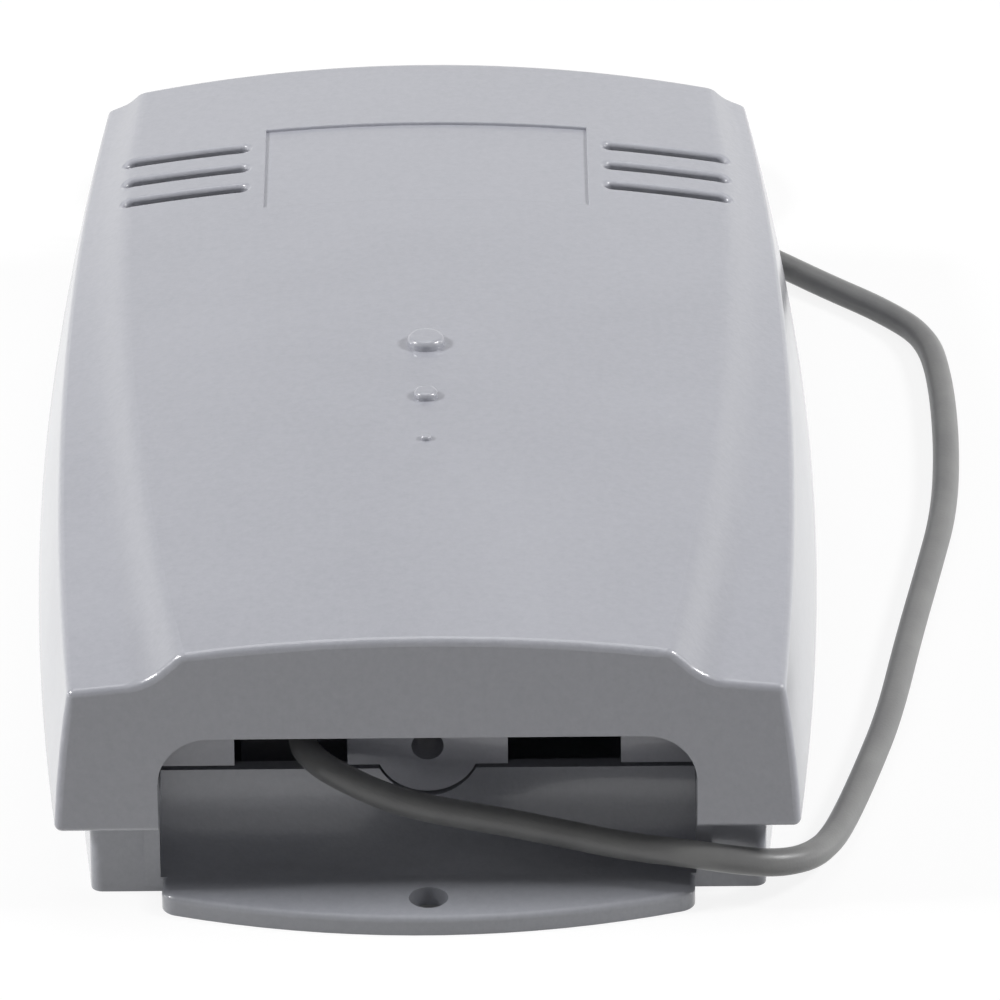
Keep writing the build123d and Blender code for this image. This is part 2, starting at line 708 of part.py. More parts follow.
def make_inner_cores():
    """Cores from the end of the cable's sheath to the clamps of the terminal."""
    group = Part()
    end_y = lead_route[0][1]
    poles = row(pole_count, pole_pitch, terminal_x)[:core_count]
    entry = board_top + 3.1
    for (dx, dz), (pole, _) in zip(core_offsets(), poles):
        start = (clamp_x + dx, end_y, clamp_cable_height + dz)
        points = [start, (start[0], end_y + 2.5, start[2]), (pole, terminal_front - 2.5, entry)]
        points.append((pole, terminal_front + terminal_depth / 2, entry))
        group += tube(FilletPolyline(*points, radius=1.5), core_radius)
    return group


def curve_step(start, end, heading):
    """Two equal arcs from start to end that leave and arrive along the same heading."""
    start, end, heading = Vector(*start), Vector(*end), Vector(*heading)
    middle = (start + end) / 2
    chord = (end - start).normalized()
    turned = chord * (2 * heading.dot(chord)) - heading
    return [TangentArc(start, middle, tangent=heading), TangentArc(middle, end, tangent=turned)]


def hank_path():
    """Three loops in two layers: spiralling in below, climbing along a run, and out again above."""
    radius = cable_diameter / 2
    low = hank_low
    high = low + cable_diameter + layer_gap
    half = hank_run / 2
    offsets = [hank_outer - k * hank_pitch / 2 for k in range(4)]
    offsets += offsets[-2::-1]
    heights = [low, low, low, low, high, high, high, high]
    edges = [Line((half + cable_diameter, hank_y - offsets[0], low), (half, hank_y - offsets[0], low))]
    for k, offset in enumerate(offsets):
        side = -1 if k % 2 == 0 else 1
        start_x = -side * half
        z, next_z = heights[k], heights[k + 1]
        heading = (side, 0, 0)
        start = (start_x, hank_y + side * offset, z)
        waist = (0, hank_y + side * (offset - hank_waist), (z + next_z) / 2)
        end = (-start_x, hank_y + side * offset, next_z)
        edges += curve_step(start, waist, heading) + curve_step(waist, end, heading)
        if k + 1 < len(offsets):
            far = hank_y - side * offsets[k + 1]
            turn_radius = (offset + offsets[k + 1]) / 2
            crest = (-start_x + side * turn_radius, (end[1] + far) / 2, next_z)
            edges.append(ThreePointArc(end, crest, (-start_x, far, next_z)))
    last = (-half, hank_y - offsets[-1], high)
    edges.append(Line(last, (last[0] - cable_diameter, last[1], high)))
    return Wire(edges)


def least_gap(path, diameter):
    """Smallest gap of a tube to itself, measured on points about a millimetre apart."""
    count = int(path.length)
    points = [path @ (k / count) for k in range(count + 1)]
    apart = int(2.5 * diameter)
    pairs = ((a, b) for i, a in enumerate(points) for b in points[i + apart:])
    return min((a - b).length for a, b in pairs) - diameter


def make_tie():
    """Cable tie round the waist of the hank, with its square head on top."""
    radius = cable_diameter / 2
    near = hank_y - hank_outer + hank_waist - radius - tie_gap
    far = hank_y + hank_outer - hank_pitch / 2 - hank_waist + radius + tie_gap
    top = hank_low + cable_diameter + layer_gap + radius + tie_gap
    half = tie_width / 2
    band = block((-half, half), (near - tie_thickness, far + tie_thickness), (0, top + tie_thickness))
    band = fillet(band.edges().filter_by(Axis.X), 1.6)
    inner = block((-half - 1, half + 1), (near, far), (tie_thickness, top))
    band -= fillet(inner.edges().filter_by(Axis.X), 0.8)
    head_y = (near + far) / 2
    head_z = (top + tie_thickness / 2, top + 4 * tie_thickness)
    head = block((-half - 0.7, half + 0.7), (head_y - 2.4, head_y + 2.4), head_z)
    return band + fillet(head.edges().group_by(Axis.Z)[-1], 0.5)


def make_end_cores(path):
    """Cores and their bare ends where the sheath is stripped at the far end."""
    insulated, bare = Part(), Part()
    end = path @ 1
    for k, (dy, dz) in enumerate(core_offsets()):
        start = (end.X, end.Y + dy, end.Z + dz)
        spread = 1.0 + 0.16 * core_tail * (k - (core_count - 1) / 2) / (core_count - 1) * 2
        points = [start, (start[0] - 3, start[1], start[2])]
        points.append((start[0] - core_tail, start[1] + spread, start[2]))
        insulated += tube(FilletPolyline(*points, radius=8.0), core_radius)
        tip = Vector(*points[2])
        onward = (tip - Vector(*points[1])).normalized()
        bare += rod(tuple(tip), tuple(tip + onward * bare_length), core_radius * 0.6)
    return insulated, bare


def make_board():
    """Circuit board with a hole for every lead and fixing screw."""
    half = board_width / 2
    board = block((-half, half), (board_front, board_front + board_length), (board_height, board_top))
    board = fillet(board.edges().filter_by(Axis.Z), 1.5)
    drills = Part()
    for x, y, radius in board_holes:
        drills += rod((x, y, board_height - 1), (x, y, board_top + 1), radius)
    for x, y in board_posts():
        drills += rod((x, y, board_height - 1), (x, y, board_top + 1), board_screw_size[0] + screw_gap)
    return board - drills


nodes["cover"] = make_cover()
nodes["base"] = make_base()
parked_seat = post_near - parked_gap - cover_screw_length
nodes["cover_screw"] = screw((0, parked_seat, tower_height), (0, 1, 0), cover_screw_size, cover_screw_length)
print("cover screw travel", round(tower_end - tower_shoulder - parked_seat, 3))

bar_low = clamp_cable_height + clamp_slit / 2
bar_x = (clamp_x - clamp_length / 2, clamp_x + clamp_length / 2)
bar = block(bar_x, (clamp_y, clamp_y + clamp_depth), (bar_low, bar_low + clamp_bar_height))
bar = fillet(bar.edges().group_by(Axis.Z)[-1], 0.6) - cable_groove()
clamp_screws = Part()
seat_z = bar_low + clamp_bar_height
for x, y in clamp_screw_places():
    bar -= rod((x, y, 0), (x, y, 60), board_screw_size[0] + screw_gap)
    clamp_screws += screw((x, y, seat_z), (0, 0, -1), board_screw_size, board_screw_length + 2)
nodes["cable_clamp"] = bar
nodes["clamp_screws"] = clamp_screws

nodes["terminal_block"], nodes["terminal_clamps"], nodes["terminal_screws"] = make_terminal()
for k, x in enumerate((-relay_x, relay_x)):
    nodes[f"relay_{k + 1}"] = make_relay(x)
nodes["filter_capacitor"] = make_capacitor(-27, 73, 5.0, 16.0)
nodes["output_capacitor"] = make_capacitor(-16, 71, 3.2, 11.0)
nodes["voltage_regulator"] = make_regulator(-3, 73)
nodes["rectifier_diodes"] = make_diodes(11, 68)
disc_y = 74
disc = rod((27, disc_y - 1.9, board_top + 7), (27, disc_y + 1.9, board_top + 7), 5.0)
nodes["surge_disc"] = fillet(disc.edges(), 0.8) + leads(row(2, 5.08, 27, disc_y), 0.35, board_top + 4)
socket_top = board_top + socket_height
nodes["chip_socket"] = make_socket(0, 92, 18)
nodes["control_chip"] = make_chip(0, 92, 18, socket_top)
nodes["memory_socket"] = make_socket(24, 92, 8)
nodes["memory_chip"] = make_chip(24, 92, 8, socket_top)
crystal = block((-28.5, -17.5), (89.6, 94.4), (board_top, board_top + 13.4))
crystal = fillet(crystal.edges().filter_by(Axis.Z), 2.2)
crystal = fillet(crystal.edges().group_by(Axis.Z)[-1], 0.6)
nodes["crystal"] = crystal + leads(row(2, 4.9, -23, 92), 0.25, board_top + 1)
nodes["resistors"] = make_resistors(-30, 107)
nodes["status_led"] = make_led(2, 107)
for k, x in enumerate(button_places):
    case, dome, plunger = make_button(x, 107)
    nodes[f"button_{k + 1}_case"] = case
    nodes[f"button_{k + 1}_dome"] = dome
    nodes[f"button_{k + 1}_plunger"] = plunger
nodes["jumper_header"], nodes["jumper_cap"] = make_header(20, 114)
nodes["radio_card"], nodes["radio_shield"], nodes["tuning_can"], nodes["tuning_core"] = make_radio()

edge = board_width / 2
low = floor_thickness + aerial_radius + 0.1
high = board_top + 5
left, right = -edge - 3.0, edge + 3.2
board_holes.append((-edge + 3, aerial_y, aerial_radius + lead_hole_gap))
aerial_route = [
    (-edge + 3, aerial_y, board_height - joint_reach), (-edge + 3, aerial_y, high),
    (left, aerial_y + 4, high), (left, aerial_y + 9, low), (left + 0.6, aerial_y + 22, low),
    (left + 8, base_length - 4.2, low), (0, base_length - 3.8, low + 0.1),
    (right - 8, base_length - 4.2, low), (right - 0.6, aerial_y + 20, low),
    (right, aerial_y - 10, low + 0.1), (right, aerial_y - 45, low),
]
nodes["aerial_wire"] = routed("aerial_wire", aerial_route, aerial_radius)
nodes["circuit_board"] = make_board()
board_screws = Part()
for x, y in board_posts():
    board_screws += screw((x, y, board_top), (0, 0, -1), board_screw_size, board_screw_length)
nodes["board_screws"] = board_screws

nodes["lead_inner_cores"] = make_inner_cores()
nodes["lead_cable"] = routed("lead_cable", lead_route, cable_diameter / 2)
path = hank_path()
nodes["lead_hank"] = tube(path, cable_diameter / 2)
plain = math.pi * (cable_diameter / 2)**2 * path.length
print("lead_hank length", round(path.length, 1), "volume ratio", round(nodes["lead_hank"].volume / plain, 4))
print("lead_hank least gap", round(least_gap(path, cable_diameter), 2))
nodes["hank_tie"] = make_tie()
nodes["lead_end_cores"], nodes["lead_end_wires"] = make_end_cores(path)

shift = Pos(0, (tongue_reach - cover_rear) / 2, 0)
os.makedirs("parts", exist_ok=True)
for name, shape in nodes.items():
    export_step(shift * shape, f"parts/{name}.step")
print(len(nodes), "nodes")
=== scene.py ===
import math

import bpy
from mathutils import Matrix, Vector


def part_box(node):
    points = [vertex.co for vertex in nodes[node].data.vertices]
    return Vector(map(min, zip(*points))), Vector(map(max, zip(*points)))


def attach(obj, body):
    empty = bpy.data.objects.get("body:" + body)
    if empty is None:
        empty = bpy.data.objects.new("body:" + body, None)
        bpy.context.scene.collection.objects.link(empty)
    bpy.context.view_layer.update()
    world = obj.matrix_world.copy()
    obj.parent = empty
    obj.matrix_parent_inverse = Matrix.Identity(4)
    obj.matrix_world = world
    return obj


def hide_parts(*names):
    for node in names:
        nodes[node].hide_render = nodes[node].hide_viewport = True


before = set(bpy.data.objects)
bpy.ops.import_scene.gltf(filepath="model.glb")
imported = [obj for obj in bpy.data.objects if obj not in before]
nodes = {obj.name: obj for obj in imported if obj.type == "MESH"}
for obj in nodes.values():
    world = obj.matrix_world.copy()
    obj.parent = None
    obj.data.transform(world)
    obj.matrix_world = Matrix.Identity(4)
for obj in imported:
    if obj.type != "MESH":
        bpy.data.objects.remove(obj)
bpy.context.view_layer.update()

bpy.ops.object.select_all(action="DESELECT")

# The camera stands in front of the cable end and looks down on the receiver at 29 degrees, hardly turned
# or tilted. Its lens is long, so the long sides hardly draw together.
azimuth, elevation, roll = -0.0031, 0.5144, -0.0069
middle_of_view = Vector((0.0096, -0.0131, 0.020))
distance = 1.3
film_width = 36
lens_per_film_width = 9.858
backward = Vector((
    math.sin(azimuth) * math.cos(elevation),
    -math.cos(azimuth) * math.cos(elevation),
    math.sin(elevation),
))
level = Vector((math.cos(azimuth), math.sin(azimuth), 0))
upward = level.cross(-backward)
right = math.cos(roll) * level + math.sin(roll) * upward
upward = math.cos(roll) * upward - math.sin(roll) * level
bpy.ops.object.camera_add()
camera = bpy.context.object
camera.name = "camera"
camera.data.sensor_width = film_width
camera.data.lens = film_width * lens_per_film_width
camera.data.clip_start = 0.05
camera.data.clip_end = 20
camera.matrix_world = Matrix((right, upward, backward)).transposed().to_4x4()
camera.matrix_world.translation = middle_of_view + backward * distance
bpy.context.scene.camera = camera

# The signal cable: a thin round lead with five cores in a dark satin sheath. It is held by the clamp,
# comes out of the left window, bends over the edge of the recess, crosses the tongue and lies on the
# floor along the right side. The rest of its length is folded into a hank behind the housing.
cable_width = 0.0036
hank_centre = 0.1094
hank_half_run = 0.028
hank_outer = 0.0149
hank_pitch = 0.0043
hank_waist = 0.0025
hank_low = 0.0028
hank_high = 0.00685
low_runs = 3
run_shares = (0, 0.14, 0.28, 0.42, 0.58, 0.72, 0.86, 1)
turn_angles = (15, 45, 75, 105, 135, 165)
turn_on_points = 0.966
lead_points = [
    (-0.0145, -0.0520, 0.0147), (-0.0149, -0.0590, 0.0147), (-0.0164, -0.0660, 0.0149),
    (-0.0141, -0.0712, 0.0147), (-0.0098, -0.0743, 0.0138), (-0.0052, -0.0757, 0.0122),
    (0.0005, -0.0764, 0.0108), (0.0064, -0.0764, 0.0096), (0.0154, -0.0770, 0.0079),
    (0.0248, -0.0793, 0.0069), (0.0334, -0.0815, 0.0070), (0.0392, -0.0822, 0.0064),
    (0.0442, -0.0812, 0.0053), (0.0484, -0.0778, 0.0041), (0.0512, -0.0722, 0.0029),
    (0.0536, -0.0640, 0.0019), (0.0570, -0.0515, 0.0018), (0.0602, -0.0385, 0.0018),
    (0.0635, -0.0190, 0.0018), (0.0669, -0.0010, 0.0018), (0.0698, 0.0150, 0.0018),
    (0.0710, 0.0340, 0.0018), (0.0709, 0.0530, 0.0018), (0.0694, 0.0645, 0.0018),
    (0.0638, 0.0722, 0.0018), (0.0560, 0.0797, 0.0018), (0.0482, 0.0876, 0.0020),
    (0.0422, 0.0922, 0.0025), (0.0366, 0.0945, 0.0028),
]


def ease(share):
    """A change from 0 to 1 with a soft start and a soft end."""
    return 2 * share ** 2 if share < 0.5 else 1 - 2 * (1 - share) ** 2


# The hank's seven runs go to and fro: three low ones spiral in, the fourth climbs, and three lie on top
# on their way out again. Each is drawn in at the waist. A turn's points lie a little outside its arc,
# because the spline runs inside them.
offsets = [hank_outer - k * hank_pitch / 2 for k in range(low_runs + 1)]
offsets += offsets[-2::-1]
for k, offset in enumerate(offsets):
    side = -1 if k % 2 == 0 else 1
    start_z = hank_low if k <= low_runs else hank_high
    end_z = hank_low if k < low_runs else hank_high
    for share in run_shares:
        drawn_in = hank_waist * (1 - ease(abs(2 * share - 1)))
        lead_points.append((
            side * (2 * share - 1) * hank_half_run,
            hank_centre + side * (offset - drawn_in),
            start_z + (end_z - start_z) * ease(share),
        ))
    if k + 1 < len(offsets):
        turn = (offset + offsets[k + 1]) / 2
        middle = hank_centre + side * (offset - turn)
        reach = turn / turn_on_points
        for angle in turn_angles:
            lead_points.append((
                side * (hank_half_run + reach * math.sin(math.radians(angle))),
                middle + side * reach * math.cos(math.radians(angle)),
                end_z,
            ))
sheath_end = (-hank_half_run - cable_width, hank_centre - hank_outer, hank_high)
lead_points.append(sheath_end)


def round_line(name, points, width, round_steps):
    """Cable or wire along a smooth spline. Its thickness is set at the points, as their radius."""
    line = bpy.data.curves.new(name, "CURVE")
    line.dimensions = "3D"
    line.bevel_depth = 1.0
    line.bevel_resolution = round_steps
    line.use_fill_caps = True
    line.resolution_u = 8
    spline = line.splines.new("NURBS")
    spline.points.add(len(points) - 1)
    for point, place in zip(spline.points, points):
        point.co = (*place, 1)
        point.radius = width / 2
    spline.order_u = 3
    spline.use_endpoint_u = True
    piece = bpy.data.objects.new(name, line)
    bpy.context.scene.collection.objects.link(piece)
    return piece


def sleeve(name, colour, darker, roughness):
    """Soft sheath: a slightly mottled colour with a fine dull grain and a few rubbed patches."""
    material = bpy.data.materials.new(name)
    material.use_nodes = True
    tree = material.node_tree
    shader = tree.nodes["Principled BSDF"]
    place = tree.nodes.new("ShaderNodeTexCoord")
    mottle = tree.nodes.new("ShaderNodeTexNoise")
    mottle.inputs["Scale"].default_value = 140
    mottle.inputs["Detail"].default_value = 4
    tones = tree.nodes.new("ShaderNodeValToRGB")
    tones.color_ramp.elements[0].position = 0.35
    tones.color_ramp.elements[0].color = (*darker, 1)
    tones.color_ramp.elements[1].position = 0.7
    tones.color_ramp.elements[1].color = (*colour, 1)
    dull = tree.nodes.new("ShaderNodeMapRange")
    dull.inputs["To Min"].default_value = roughness - 0.08
    dull.inputs["To Max"].default_value = roughness + 0.1
    grain = tree.nodes.new("ShaderNodeTexNoise")
    grain.inputs["Scale"].default_value = 2600
    bump = tree.nodes.new("ShaderNodeBump")
    bump.inputs["Strength"].default_value = 0.25
    bump.inputs["Distance"].default_value = 0.00012
    tree.links.new(place.outputs["Object"], mottle.inputs["Vector"])
    tree.links.new(place.outputs["Object"], grain.inputs["Vector"])
    tree.links.new(mottle.outputs["Fac"], tones.inputs["Fac"])
    tree.links.new(tones.outputs["Color"], shader.inputs["Base Color"])
    tree.links.new(mottle.outputs["Fac"], dull.inputs["Value"])
    tree.links.new(dull.outputs["Result"], shader.inputs["Roughness"])
    tree.links.new(grain.outputs["Fac"], bump.inputs["Height"])
    tree.links.new(bump.outputs["Normal"], shader.inputs["Normal"])
    return material


signal_cable = round_line("signal_cable", lead_points, cable_width, 5)
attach(signal_cable, "base")
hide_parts("lead_cable", "lead_hank")
signal_cable.data.materials.append(sleeve("cable_sheath", (0.32, 0.32, 0.316), (0.26, 0.26, 0.26), 0.38))

# The cable's bare end: the sheath is stripped back, and the five cores fan out a little, each with its
# own colour and a short tinned tip.
core_width = 0.0011
core_spread = 0.00105
core_tail = 0.011
core_in_sheath = 0.002
core_straight = 0.003
fan_shift = 0.001
fan_lean = 0.16
tip_width = core_width * 0.6
tip_length = 0.005
tip_in_core = 0.001
core_colours = {
    "brown": ((0.15, 0.06, 0.03), (0.11, 0.04, 0.02)),
    "blue": ((0.03, 0.10, 0.36), (0.02, 0.07, 0.27)),
    "black": ((0.03, 0.03, 0.03), (0.02, 0.02, 0.02)),
    "white": ((0.72, 0.71, 0.66), (0.62, 0.61, 0.57)),
    "green": ((0.06, 0.26, 0.09), (0.04, 0.19, 0.06)),
}
ring = [math.radians(90 + 72 * k) for k in range(5)]
core_offsets = sorted((core_spread * math.cos(a), core_spread * math.sin(a)) for a in ring)


def metal(name, darker, lighter, grain, detail, smoothest, dullest, relief=0):
    """Plated metal with brighter and duller spots, which stand up a little if it has a relief."""
    material = bpy.data.materials.new(name)
    material.use_nodes = True
    tree = material.node_tree
    shader = tree.nodes["Principled BSDF"]
    shader.inputs["Metallic"].default_value = 1
    place = tree.nodes.new("ShaderNodeTexCoord")
    spots = tree.nodes.new("ShaderNodeTexNoise")
    spots.inputs["Scale"].default_value = grain
    spots.inputs["Detail"].default_value = detail
    tones = tree.nodes.new("ShaderNodeValToRGB")
    tones.color_ramp.elements[0].color = (*darker, 1)
    tones.color_ramp.elements[1].color = (*lighter, 1)
    dull = tree.nodes.new("ShaderNodeMapRange")
    dull.inputs["To Min"].default_value = smoothest
    dull.inputs["To Max"].default_value = dullest
    tree.links.new(place.outputs["Object"], spots.inputs["Vector"])
    tree.links.new(spots.outputs["Fac"], tones.inputs["Fac"])
    tree.links.new(tones.outputs["Color"], shader.inputs["Base Color"])
    tree.links.new(spots.outputs["Fac"], dull.inputs["Value"])
    tree.links.new(dull.outputs["Result"], shader.inputs["Roughness"])
    if relief:
        bump = tree.nodes.new("ShaderNodeBump")
        bump.inputs["Strength"].default_value = 0.2
        bump.inputs["Distance"].default_value = relief
        tree.links.new(spots.outputs["Fac"], bump.inputs["Height"])
        tree.links.new(bump.outputs["Normal"], shader.inputs["Normal"])
    return material


def core(name, points, width, material):
    """Core or bare wire of the cable, which stays with the base."""
    wire = round_line(name, points, width, 3)
    wire.data.materials.append(material)
    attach(wire, "base")
    return wire


tinned = metal("tinned_copper", (0.48, 0.47, 0.45), (0.78, 0.77, 0.74), 3500, 2, 0.22, 0.42)
core_materials = {}
for k, (colour, (dy, dz)) in enumerate(zip(core_colours, core_offsets)):
    core_materials[colour] = sleeve(f"core_{colour}", *core_colours[colour], 0.36)
    sideways = fan_shift + fan_lean * core_tail * (k - 2) / 2
    start = Vector(sheath_end) + Vector((core_in_sheath, dy, dz))
    bend = Vector(sheath_end) + Vector((-core_straight, dy, dz))
    tip = Vector(sheath_end) + Vector((-core_tail, dy + sideways, dz))
    onward = (tip - bend).normalized()
    core(
        f"end_core_{colour}", [start, bend, tip], core_width, core_materials[colour])
    wire_start = tip - onward * tip_in_core
    wire_end = tip + onward * tip_length
    wire_points = [wire_start, (wire_start + wire_end) / 2, wire_end]
    core(f"end_wire_{colour}", wire_points, tip_width, tinned)
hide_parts("lead_end_cores")
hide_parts("lead_end_wires")

# The tie round the hank's waist: a moulded nylon strap, pulled through its own square locking head, that
# holds the seven runs together.
nodes["hank_tie"].data.materials[0] = sleeve("tie_nylon", (0.035, 0.035, 0.037), (0.022, 0.022, 0.024), 0.38)

# Base: a shallow tray moulded in one piece with the fixing tongue, the curved wall of the cable recess,
# the board posts and the hinge pins. The same grey plastic makes the bar of the cable clamp.


def moulded(name, colour, darker, lighter, roughness):
    """Matte moulded plastic: a spark-eroded grain, faint flow mottling and duller and smoother patches."""
    material = bpy.data.materials.new(name)
    material.use_nodes = True
    tree = material.node_tree
    shader = tree.nodes["Principled BSDF"]
    shader.inputs["Specular IOR Level"].default_value = 0.85
    shader.inputs["Coat Weight"].default_value = 0.8
    shader.inputs["Coat Roughness"].default_value = 0.12
    place = tree.nodes.new("ShaderNodeTexCoord")
    flow = tree.nodes.new("ShaderNodeTexNoise")
    flow.inputs["Scale"].default_value = 22
    flow.inputs["Detail"].default_value = 3
    flow.inputs["Distortion"].default_value = 0.6
    speckle = tree.nodes.new("ShaderNodeTexNoise")
    speckle.inputs["Scale"].default_value = 900
    speckle.inputs["Detail"].default_value = 3
    speckle.inputs["Roughness"].default_value = 0.75
    blend = tree.nodes.new("ShaderNodeMix")
    blend.data_type = "FLOAT"
    blend.inputs["Factor"].default_value = 0.62
    tones = tree.nodes.new("ShaderNodeValToRGB")
    tones.color_ramp.elements[0].position = 0.3
    tones.color_ramp.elements[0].color = (*darker, 1)
    tones.color_ramp.elements[1].position = 0.72
    tones.color_ramp.elements[1].color = (*lighter, 1)
    tones.color_ramp.elements.new(0.5).color = (*colour, 1)
    dull = tree.nodes.new("ShaderNodeMapRange")
    dull.inputs["From Min"].default_value = 0.3
    dull.inputs["From Max"].default_value = 0.7
    dull.inputs["To Min"].default_value = roughness - 0.06
    dull.inputs["To Max"].default_value = roughness + 0.06
    grain = tree.nodes.new("ShaderNodeTexVoronoi")
    grain.feature = "SMOOTH_F1"
    grain.inputs["Scale"].default_value = 1900
    bump = tree.nodes.new("ShaderNodeBump")
    bump.inputs["Strength"].default_value = 0.3
    bump.inputs["Distance"].default_value = 0.00008
    for texture in (flow, speckle, grain):
        tree.links.new(place.outputs["Object"], texture.inputs["Vector"])
    tree.links.new(flow.outputs["Fac"], blend.inputs["A"])
    tree.links.new(speckle.outputs["Fac"], blend.inputs["B"])
    tree.links.new(blend.outputs["Result"], tones.inputs["Fac"])
    tree.links.new(tones.outputs["Color"], shader.inputs["Base Color"])
    tree.links.new(flow.outputs["Fac"], dull.inputs["Value"])
    tree.links.new(dull.outputs["Result"], shader.inputs["Roughness"])
    tree.links.new(grain.outputs["Distance"], bump.inputs["Height"])
    tree.links.new(bump.outputs["Normal"], shader.inputs["Normal"])
    return material


base_plastic = moulded("base_plastic", (0.41, 0.42, 0.46), (0.375, 0.385, 0.425), (0.445, 0.455, 0.495), 0.40)
nodes["base"].data.materials[0] = base_plastic
nodes["cable_clamp"].data.materials[0] = base_plastic

# Screws: zinc-plated steel with turned heads. They hold the board on its posts, the clamp's bar over the
# cable, the cores in the terminals and the cover on the base.
zinc = metal("zinc_plated_steel", (0.42, 0.42, 0.41), (0.72, 0.71, 0.68), 1400, 5, 0.24, 0.46, relief=0.00005)
for name in ("board_screws", "clamp_screws", "terminal_screws", "cover_screw"):
    nodes[name].data.materials[0] = zinc

# Circuit board on its four posts, and the upright radio card that stands on it: glass-fibre sheet with
# copper tracks under green lacquer.


def lacquered_board(name, pitch):
    """Green solder lacquer over straight copper tracks, which stand out as lighter, raised bands."""
    material = bpy.data.materials.new(name)
    material.use_nodes = True
    tree = material.node_tree
    shader = tree.nodes["Principled BSDF"]
    shader.inputs["Coat Weight"].default_value = 0.4
    shader.inputs["Coat Roughness"].default_value = 0.15
    place = tree.nodes.new("ShaderNodeTexCoord")
    tracks = tree.nodes.new("ShaderNodeTexBrick")
    tracks.inputs["Scale"].default_value = 1 / pitch
    tracks.inputs["Mortar Size"].default_value = 0.07
    tracks.inputs["Brick Width"].default_value = 2.3
    tracks.inputs["Row Height"].default_value = 1.0
    tracks.inputs["Color1"].default_value = (0.012, 0.075, 0.030, 1)
    tracks.inputs["Color2"].default_value = (0.016, 0.090, 0.036, 1)
    tracks.inputs["Mortar"].default_value = (0.045, 0.20, 0.075, 1)
    weave = tree.nodes.new("ShaderNodeTexNoise")
    weave.inputs["Scale"].default_value = 700
    dull = tree.nodes.new("ShaderNodeMapRange")
    dull.inputs["To Min"].default_value = 0.3
    dull.inputs["To Max"].default_value = 0.5
    bump = tree.nodes.new("ShaderNodeBump")
    bump.inputs["Strength"].default_value = 0.4
    bump.inputs["Distance"].default_value = 0.00006
    tree.links.new(place.outputs["Object"], tracks.inputs["Vector"])
    tree.links.new(place.outputs["Object"], weave.inputs["Vector"])
    tree.links.new(tracks.outputs["Color"], shader.inputs["Base Color"])
    tree.links.new(weave.outputs["Fac"], dull.inputs["Value"])
    tree.links.new(dull.outputs["Result"], shader.inputs["Roughness"])
    tree.links.new(tracks.outputs["Fac"], bump.inputs["Height"])
    tree.links.new(bump.outputs["Normal"], shader.inputs["Normal"])
    return material


nodes["circuit_board"].data.materials[0] = lacquered_board("board_lacquer", 0.0042)
nodes["radio_card"].data.materials[0] = lacquered_board("card_lacquer", 0.0030)

# Terminal block: a dark green moulding round six cages of nickel-plated brass. Each cage has its screw
# above and its mouth towards the cable.
nodes["terminal_block"].data.materials[0] = moulded(
    "terminal_plastic", (0.03, 0.14, 0.07), (0.024, 0.12, 0.06), (0.036, 0.16, 0.08), 0.42)
nickel = metal("nickel_brass", (0.44, 0.40, 0.30), (0.74, 0.69, 0.54), 1400, 5, 0.24, 0.46, relief=0.00005)
nodes["terminal_clamps"].data.materials[0] = nickel

# Relays: two switches in sealed cases of dark blue plastic with rounded edges, each on five leads that
# are soldered to the board.
relay_case = moulded("relay_plastic", (0.03, 0.07, 0.22), (0.025, 0.06, 0.19), (0.036, 0.08, 0.25), 0.34)
nodes["relay_1"].data.materials[0] = relay_case
nodes["relay_2"].data.materials[0] = relay_case

# Pressed cans: the shield over the radio card's filter, the can of its tuning coil and the case of the
# crystal are drawn from plated sheet.
for name in ("radio_shield", "tuning_can", "crystal"):
    nodes[name].data.materials[0] = zinc

# Small parts on the board: capacitors, regulator, diodes, surge disc, resistors, chips on their sockets,
# header and lamp. Each is moulded or dipped over metal leads, so its finish changes along its length:
# leads, body and printed bands.


def banded(name, node, axis, bands):
    """Finish that changes along one axis of a part. Bands are (from, colour, metallic, roughness)."""
    low, high = (corner["XYZ".index(axis)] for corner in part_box(node))
    material = bpy.data.materials.new(name)
    material.use_nodes = True
    tree = material.node_tree
    shader = tree.nodes["Principled BSDF"]
    place = tree.nodes.new("ShaderNodeTexCoord")
    split = tree.nodes.new("ShaderNodeSeparateXYZ")
    along = tree.nodes.new("ShaderNodeMapRange")
    along.inputs["From Min"].default_value = low
    along.inputs["From Max"].default_value = high
    uneven = tree.nodes.new("ShaderNodeTexNoise")
    uneven.inputs["Scale"].default_value = 1500
    bump = tree.nodes.new("ShaderNodeBump")
    bump.inputs["Strength"].default_value = 0.15
    bump.inputs["Distance"].default_value = 0.00004
    tree.links.new(place.outputs["Object"], split.inputs["Vector"])
    tree.links.new(split.outputs[axis], along.inputs["Value"])
    tree.links.new(place.outputs["Object"], uneven.inputs["Vector"])
    tree.links.new(uneven.outputs["Fac"], bump.inputs["Height"])
    tree.links.new(bump.outputs["Normal"], shader.inputs["Normal"])
    for socket, index in (("Base Color", 1), ("Metallic", 2), ("Roughness", 3)):
        ramp = tree.nodes.new("ShaderNodeValToRGB")
        ramp.color_ramp.interpolation = "CONSTANT"
        for k, band in enumerate(bands):
            value = band[index] if index == 1 else (band[index],) * 3
            if k < 2:
                stop = ramp.color_ramp.elements[k]
                stop.position = band[0]
            else:
                stop = ramp.color_ramp.elements.new(band[0])
            stop.color = (*value, 1)
        tree.links.new(along.outputs["Result"], ramp.inputs["Fac"])
        tree.links.new(ramp.outputs["Color"], shader.inputs[socket])
    nodes[node].data.materials[0] = material


